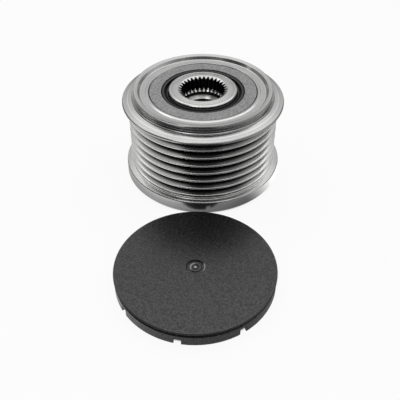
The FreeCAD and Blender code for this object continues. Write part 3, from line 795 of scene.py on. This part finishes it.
def socket_rows():
    """Rows of the tool socket: its edge, the lead-in, the teeth, their sloping ends and the cone."""
    rows = [
        fixed((TOOTH_TIP + LEAD_WIDTH + LEAD_EDGE, HUB_TOP)),
        fixed((TOOTH_TIP + LEAD_WIDTH, HUB_TOP - LEAD_EDGE_DROP)),
    ]
    for step in range(1, LEAD_ROWS + 1):
        share = step / LEAD_ROWS
        rows.append(toothed(TOOTH_TIP + LEAD_WIDTH * (1 - share), HUB_TOP - LEAD_DEPTH * share))
    rows.append(toothed(TOOTH_TIP, GAP_END))
    for step in range(1, END_ROWS + 1):
        share = step / END_ROWS
        radius = TOOTH_ROOT - (TOOTH_ROOT - TOOTH_TIP) * share
        rows.append(sloping_end(radius, GAP_END - (GAP_END - GAP_FOOT) * share))
    return rows + [
        fixed((TOOTH_TIP, CONE_TOP + CONE_BREAK)),
        fixed((TOOTH_TIP - CONE_BREAK, CONE_TOP - CONE_BREAK)),
        fixed((THREAD_MINOR, CONE_FOOT)),
    ]


def thread_rows():
    """Rows down the thread, which deepens over the first few."""
    count = round((THREAD_TOP - THREAD_END) / THREAD_PITCH * THREAD_ROWS)
    rows = []
    for step in range(count + 1):
        height = THREAD_TOP + (THREAD_END - THREAD_TOP) * step / count
        rows.append(threaded(height, min(1.0, step / THREAD_RUN_IN)))
    return rows


def make_hub():
    middle_of_flank = (HALF_MOUTH + HALF_FLOOR) / 2
    flank = (HALF_FLOOR, middle_of_flank, HALF_MOUTH)
    offsets = [-offset for offset in reversed(flank)] + [0.0, *flank, TOOTH_PERIOD / 2]
    angles = [TOOTH_PERIOD * tooth + offset for tooth in range(TEETH) for offset in offsets]
    outside = softened([
        (PILOT, 0.0, ROUND),
        (HUB_SEAT - HUB_BREAK, 0.0, FINE),
        (HUB_SEAT, HUB_BREAK, FINE),
        (HUB_SEAT, REAR_RACE_TOP, SQUARE),
        (LAND, REAR_RACE_TOP, SQUARE),
        (LAND, FRONT_RACE_TOP - BEARING_WIDTH, SQUARE),
        (HUB_SEAT, FRONT_RACE_TOP - BEARING_WIDTH, SQUARE),
        *[(HUB_SEAT - inwards, HUB_TOP - down, rounding) for inwards, down, rounding in HUB_CROWN],
    ])
    rows = [fixed(point) for point in outside] + socket_rows() + thread_rows()
    rows.append(fixed((PILOT, PILOT_DEPTH)))
    hub = spun("toothed_hub", rows, angles)
    hang_on(hub, "hub", "hub", "hub_steel")


# Cover rings and lip seals, front and rear.

COVER_CORNERS = (
    (COVER_EDGE - COVER_WALL, 0, CRISP),
    (COVER_EDGE, 0, CRISP),
    (COVER_EDGE, COVER_HEIGHT - COVER_BREAK, SOFT),
    (COVER_EDGE - COVER_BREAK, COVER_HEIGHT, EASED),
    (COVER_EYE, COVER_HEIGHT, SLIGHT),
    (COVER_EYE, COVER_UNDER, KEEN),
    (COVER_EDGE - COVER_WALL, COVER_UNDER, ROUND),
)
SEAL_CORNERS = (
    (SEAL_EDGE, COVER_UNDER, CRISP),
    (SEAL_EDGE, SEAL_BACK, SOFT),
    (LIP_ROOT, SEAL_BACK, SOFT),
    (LIP_SHOULDER, LIP_BACK, SOFT),
    (SEAL_LIP, LIP_BACK, KEEN),
    (SEAL_LIP, LIP_FRONT, KEEN),
    (CREASE, CREASE_HEIGHT, CRISP),
    (SEAL_LIP, DUST_LIP_BACK, KEEN),
    (DUST_LIP, DUST_LIP_HEIGHT, CRISP),
    (DUST_LIP_ROOT, DUST_LIP_TOP, SLIGHT),
    (TROUGH, TROUGH_FLOOR, CRISP),
    (TROUGH_EDGE, TROUGH_FLOOR, CRISP),
    (RIDGE, RIDGE_HEIGHT, CRISP),
    (RIDGE_EDGE, RIDGE_TOP, ROUND),
    (SEAL_FACE_EDGE, SEAL_FACE, CRISP),
    (SEAL_TUCK_EDGE, SEAL_TUCK, KEEN),
    (COVER_EYE, SEAL_TUCK, HAIR),
    (COVER_EYE, COVER_UNDER, SQUARE),
)


def turned_end(name, corners, foot, way, order):
    """Turned piece of an end; way is 1 in front and -1 behind, and order keeps its faces pointing outwards.
    """
    placed = [(radius, foot + way * height, rounding) for radius, height, rounding in corners]
    return lathe(name, placed[::order], SMALL_TURNS)


def make_cover(end, foot, way):
    """Cover ring and its seal at one end."""
    ring = turned_end(f"{end}_pressed_cover", COVER_CORNERS, foot, way, way)
    hang_on(ring, "pulley", f"{end}_cover_ring", "cover_steel")
    seal = turned_end(f"{end}_rubber_seal", SEAL_CORNERS, foot, way, -way)
    hang_on(seal, "pulley", f"{end}_lip_seal", "seal_rubber")


# End cap.


def notch_box(index):
    """Block that cuts one notch out of the skirt."""
    middle = (CAP_BORE + CAP_SKIRT) / 2
    angle = FULL_TURN * index / NOTCHES
    bpy.ops.mesh.primitive_cube_add(size=1)
    block = bpy.context.object
    block.scale = (NOTCH_REACH * MM, NOTCH_WIDTH * MM, 2 * NOTCH_HEIGHT * MM)
    block.rotation_euler = (0, 0, angle)
    block.location = (middle * cos(angle) * MM, middle * sin(angle) * MM, 0)
    return block


def cap_corners():
    """Outline of the cap, from the skirt's foot over the rim and the gate to the snap bead inside."""
    return [
        (CAP_BORE, 0.0, FINE),
        (CAP_SKIRT, 0.0, FINE),
        (CAP_SKIRT, SHOULDER_FOOT, FINE),
        (SHOULDER, SHOULDER_TOP, CRISP),
        (UNDERCUT, UNDERCUT_FOOT, CRISP),
        (UNDERCUT, RIM_FOOT, CRISP),
        (CAP_EDGE - RIM_LEAN, RIM_SIDE_FOOT, CRISP),
        (CAP_EDGE, CAP_TOP - CAP_BREAK, SOFT),
        (CAP_EDGE - CAP_BREAK, CAP_TOP, ROUND),
        (GATE, CAP_TOP, GATE_EDGE_ROUND),
        (GATE - GATE_LEAN, GATE_FLOOR, SOFT),
        (GATE_RING + GATE_RING_FOOT, GATE_FLOOR, ROUND),
        (GATE_RING + GATE_RING_HALF, GATE_RING_TOP, SOFT),
        (GATE_RING - GATE_RING_HALF, GATE_RING_TOP, SOFT),
        (GATE_RING - GATE_RING_FOOT, GATE_FLOOR, ROUND),
        (PIP, GATE_FLOOR, CRISP),
        (PIP - PIP_LEAN, PIP_TOP, SOFT),
        (0.0, PIP_TOP, SQUARE),
        (0.0, CAP_CEILING, SQUARE),
        (CAP_BORE, CAP_CEILING, CEILING_ROUND),
        (CAP_BORE, SNAP_BEAD_TOP, CRISP),
        (SNAP_BEAD, SNAP_BEAD_MIDDLE, SOFT),
        (CAP_BORE, SNAP_BEAD_FOOT, CRISP),
    ]


def make_end_cap():
    cap = lathe("moulded_end_cap", cap_corners(), SMALL_TURNS)
    blocks = [notch_box(index) for index in range(NOTCHES)]
    for block in blocks:
        cut = cap.modifiers.new("notch", "BOOLEAN")
        cut.operation = "DIFFERENCE"
        cut.solver = "EXACT"
        cut.object = block
    bpy.context.view_layer.update()
    carved = bpy.data.meshes.new_from_object(cap.evaluated_get(bpy.context.evaluated_depsgraph_get()))
    for thing in blocks + [cap]:
        bpy.data.objects.remove(thing)
    carved.transform(Matrix.Rotation(CAP_TURN, 4, "Z"))
    cap = finished("moulded_end_cap", carved)
    cap.location = (CAP_MIDDLE.x * MM, CAP_MIDDLE.y * MM, 0)
    hang_on(cap, "hub", "end_cap", "cap_plastic")


# Pieces inside, which keep the CAD's shapes.


def dress_inner_pieces():
    """Give every CAD node the finish of its slot; the nodes that a piece stands for are hidden later."""
    slots = {part["node"]: part["material_slot"] for part in frame["record"]["subparts"]}
    for name, node in frame["nodes"].items():
        node.data.materials.clear()
        node.data.materials.append(FINISHES[slots[name]])


# Studio.

FLOOR_SIZE = 4.0
FLOOR_WHITE = (0.80, 0.80, 0.80, 1)
FLOOR_TO_CAMERA = 0.92
FLOOR_TO_GLOSS = 0.85
FOOT_SHADOW = FLANGE - 1.5
FOOTPRINTS = (((CAP_MIDDLE.x, CAP_MIDDLE.y, 0), CAP_BORE), ((0, 0, 0), FOOT_SHADOW))
SHADOW_BLUR = 1.0

# What the floor shows in reflections: pale at the left, dim at the right, and a glow right and behind.
DIM_FLOOR = 0.25
PALE_FLOOR = 1.10
PALE_FLOOR_SIDE = (-0.95, 0.30, 0)
PALE_FLOOR_SPAN = (-0.9, 0.6)
GLOW_SIDE = (0.90, 0.40, 0)
GLOW_FLOOR = 0.34
GLOW_SPAN = (0.1, 0.8)
FOOT_SHADE = 0.60
FOOT_SHADE_REACH = 44
FOOT_GLOW = 1.8
FOOT_GLOW_REACH = 54
FOOT_GLOW_SPAN = (0.2, 0.9)

# What the room shows in reflections, by side and by rise, which is 0 level and 1 overhead.
DIM_AIR = 0.06
PALE_AIR = 0.70
PALE_SIDE = (0.35, 0.90, 0.25)
PALE_SPAN = (-0.5, 0.6)
LOW_AIR = 0.35
LOW_SPAN = (0.10, 0.50)
BAND_GAIN = 0.5
BAND_FOOT = (0.58, 0.68)
BAND_HEAD = (0.87, 0.80)

# Square softboxes: name, place, width, and how bright each looks, where 1 is white.
SOFTBOXES = (
    ("overhead_softbox", (0.0, -0.07, 0.60), 0.78, 0.7),
    ("left_softbox", (-0.46, 0.14, 0.50), 0.40, 0.75),
    ("front_softbox", (-0.20, -0.28, 0.60), 0.19, 1.6),
    ("rear_softbox", (0.50, 0.26, 0.46), 0.30, 0.6),
)
SOFTBOX_AIM = Vector((0.0, -0.03, 0.02))

CAMERA_SPOT = (-0.0011423, -0.1993996, 0.1561259)
CAMERA_PITCH = 0.7223
FOCAL_PIXELS = 586.8835
PHOTO_PIXELS = 400
SENSOR_MM = 36.0
NEAREST_SEEN = 0.01


def light_path(start, output):
    """1 for rays of the kind that the output names, such as Is Camera Ray, and 0 for others."""
    return start.node("ShaderNodeLightPath", output=output)


def floor_glow(start, spot):
    """How bright the floor looks in reflections, at a place on it."""
    way = start.node("ShaderNodeVectorMath", {"operation": "NORMALIZE"}, {0: spot})
    near = length(start, spot)
    lit_side = along(start, way, GLOW_SIDE)
    glow = between(start, along(start, way, PALE_FLOOR_SIDE), *PALE_FLOOR_SPAN, DIM_FLOOR, PALE_FLOOR)
    glow = glow + between(start, lit_side, *GLOW_SPAN) * GLOW_FLOOR
    glow = glow * (1 - between(start, near, FOOT_SHADE_REACH, FLANGE) * FOOT_SHADE)
    by_foot = between(start, near, FOOT_GLOW_REACH, FLANGE)
    return glow + by_foot * between(start, lit_side, *FOOT_GLOW_SPAN) * FOOT_GLOW


def make_floor():
    """White floor: nearly plain white to the camera, a glow in reflections, and the real shadow beneath."""
    material, start = new_finish("studio_floor")
    seen = light_path(start, "Is Camera Ray")
    mirrored = light_path(start, "Is Glossy Ray") + light_path(start, "Is Transmission Ray")
    spot = place_mm(start)
    share = seen * FLOOR_TO_CAMERA + mirrored * FLOOR_TO_GLOSS
    for middle, radius in FOOTPRINTS:
        share = share * above(start, apart(start, spot, middle), radius, blur=SHADOW_BLUR)
    lit = start.node("ShaderNodeBsdfDiffuse", None, {"Color": FLOOR_WHITE})
    plain = start.node("ShaderNodeEmission", None, {"Color": seen + (1 - seen) * floor_glow(start, spot)})
    put_on(start, start.node("ShaderNodeMixShader", None, {0: share, 1: lit, 2: plain}))
    bpy.ops.mesh.primitive_plane_add(size=FLOOR_SIZE)
    floor = bpy.context.object
    floor.name = "studio_floor"
    floor.location.z = min(0.0, CAP_LOW.z * MM)
    floor.data.materials.append(material)


def make_world():
    """Room: white to the camera, else pale above, behind and to the right, and dim on the camera's side."""
    world = bpy.data.worlds.new("studio_air")
    bpy.context.scene.world = world
    world.use_nodes = True
    world.node_tree.nodes.clear()
    start = Wire(world.node_tree)
    seen = light_path(start, "Is Camera Ray")
    way = start.node("ShaderNodeTexCoord", output="Generated")
    rise = upwards(start, way)
    glow = between(start, along(start, way, PALE_SIDE), *PALE_SPAN, DIM_AIR, PALE_AIR)
    glow = glow * between(start, rise, *LOW_SPAN, LOW_AIR, 1.0)
    band = between(start, rise, *BAND_FOOT) * between(start, rise, *BAND_HEAD)
    glow = glow * (band * BAND_GAIN + 1.0)
    air = start.node("ShaderNodeBackground", None, {"Color": seen + (1 - seen) * glow})
    start.node("ShaderNodeOutputWorld", None, {"Surface": air})


def make_softbox(name, spot, size, glow):
    """Square lamp aimed at the part."""
    light = bpy.data.lights.new(name, "AREA")
    light.shape = "SQUARE"
    light.size = size
    light.energy = glow * pi * size ** 2
    lamp = bpy.data.objects.new(name, light)
    lamp.location = spot
    lamp.rotation_euler = (SOFTBOX_AIM - Vector(spot)).to_track_quat("-Z", "Y").to_euler()
    bpy.context.scene.collection.objects.link(lamp)


def make_camera():
    data = bpy.data.cameras.new("photo_camera")
    data.sensor_width = SENSOR_MM
    data.lens = SENSOR_MM * FOCAL_PIXELS / PHOTO_PIXELS
    data.clip_start = NEAREST_SEEN
    camera = bpy.data.objects.new("photo_camera", data)
    camera.location = CAMERA_SPOT
    camera.rotation_euler = (pi / 2 - CAMERA_PITCH, 0, 0)
    bpy.context.scene.collection.objects.link(camera)
    bpy.context.scene.camera = camera


dress_inner_pieces()
make_pulley_ring()
make_hub()
make_cover("front", COVER_FOOT, 1)
make_cover("rear", REAR_COVER_FOOT, -1)
make_end_cap()
make_floor()
make_world()
for softbox in SOFTBOXES:
    make_softbox(*softbox)
make_camera()
bpy.context.scene.view_settings.view_transform = "Standard"
